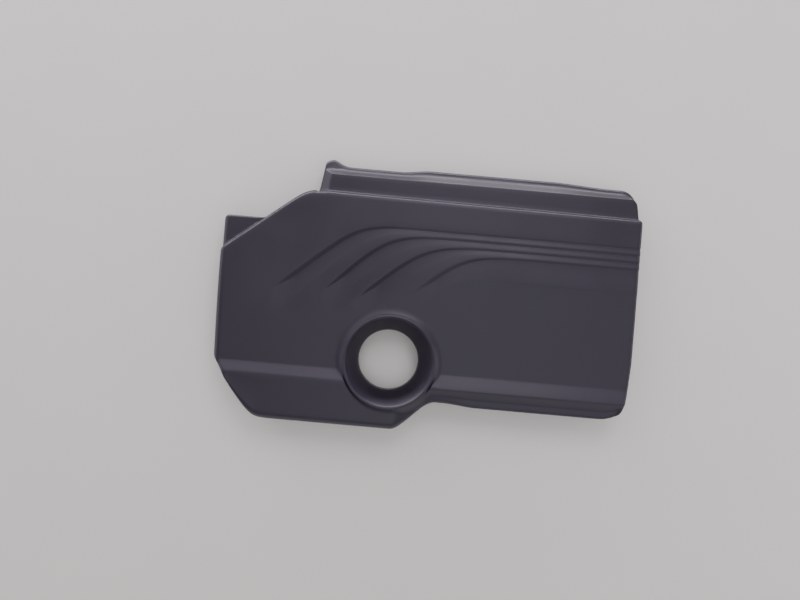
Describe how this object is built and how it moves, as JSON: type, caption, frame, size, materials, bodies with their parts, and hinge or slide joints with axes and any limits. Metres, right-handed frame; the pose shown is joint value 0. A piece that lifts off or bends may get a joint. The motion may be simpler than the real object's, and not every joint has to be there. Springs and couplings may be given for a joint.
{
  "type": "engine cover",
  "caption": "Moulded plastic engine cover with a stepped wave panel, a lowered rear flange, a funnel round the oil filler and rubber stud grommets under it.",
  "frame": {"origin": "centre of the bounding box at the rim's plane, on which the cover lies", "axes": "+X along the length towards the long rear flange's right end, +Y towards the rear edge with the flange and ear, +Z out of the finished face"},
  "size_m": [0.412, 0.262, 0.046],
  "materials": {
    "cover_plastic": "matte dark blue-grey moulded polyamide, finely grained",
    "grommet_rubber": "matte black rubber"
  },
  "bodies": {
    "root": {"cover_shell": "cover_plastic", "grommet_rear_left": "grommet_rubber", "grommet_front_left": "grommet_rubber", "grommet_rear_right": "grommet_rubber", "grommet_front_right": "grommet_rubber"}
  },
  "joints": []
}
